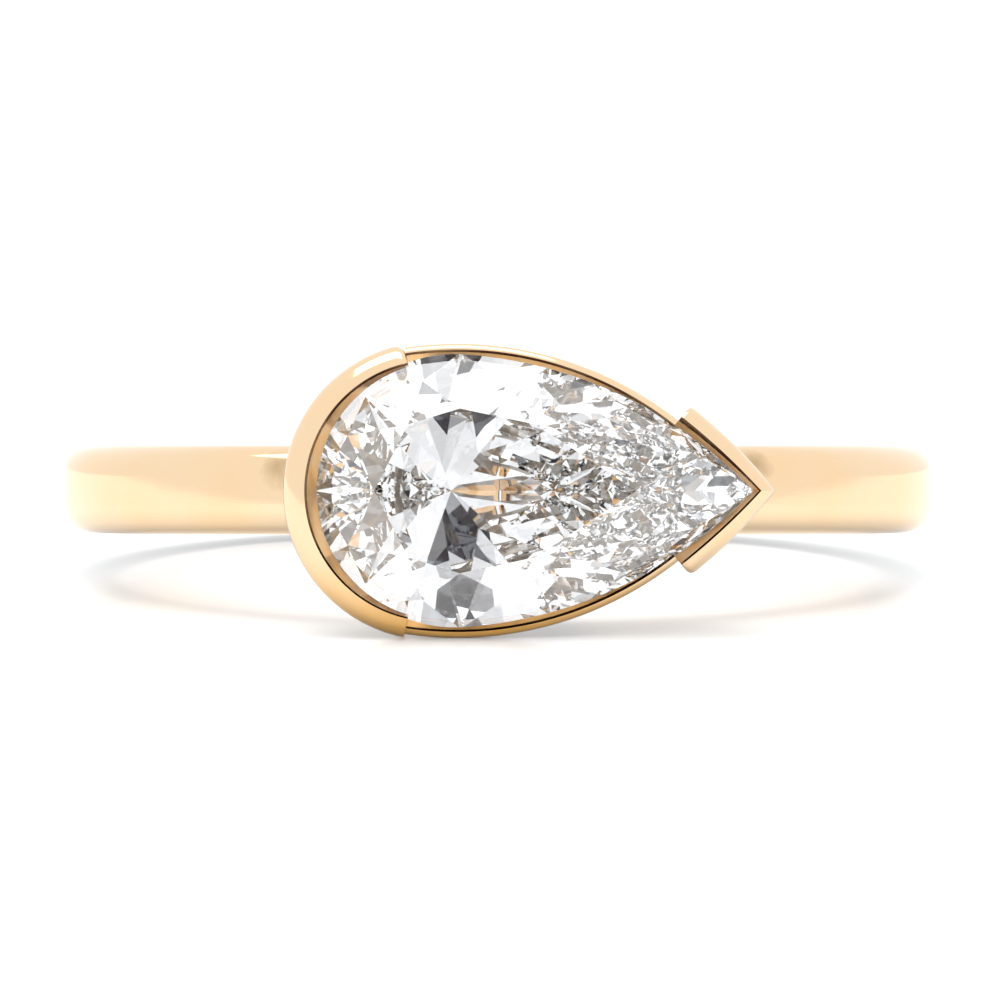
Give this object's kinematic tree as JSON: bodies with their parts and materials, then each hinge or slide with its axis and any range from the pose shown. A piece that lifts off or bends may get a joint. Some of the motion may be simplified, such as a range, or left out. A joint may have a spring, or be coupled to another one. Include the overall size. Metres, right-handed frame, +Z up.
{
  "type": "east west ring",
  "caption": "Pear-cut stone laid across the finger in a half bezel: a curved wall at its round end, a V-shaped wall at its point, low rails between, on a plain rounded band.",
  "frame": {"origin": "centre of the finger hole, halfway through the band's width", "axes": "+Z up with the ring lying on its side, -Y towards the side the stone faces, +X towards the pear's point. The finger hole leans a few degrees from +Z, towards +Y, because the setting lifts the front of the band"},
  "size_m": [0.02, 0.0226, 0.0065],
  "materials": {
    "gold": "polished",
    "stone": "faceted and polished"
  },
  "bodies": {
    "root": {"band_and_setting": "gold", "pear_stone": "stone"}
  },
  "joints": []
}
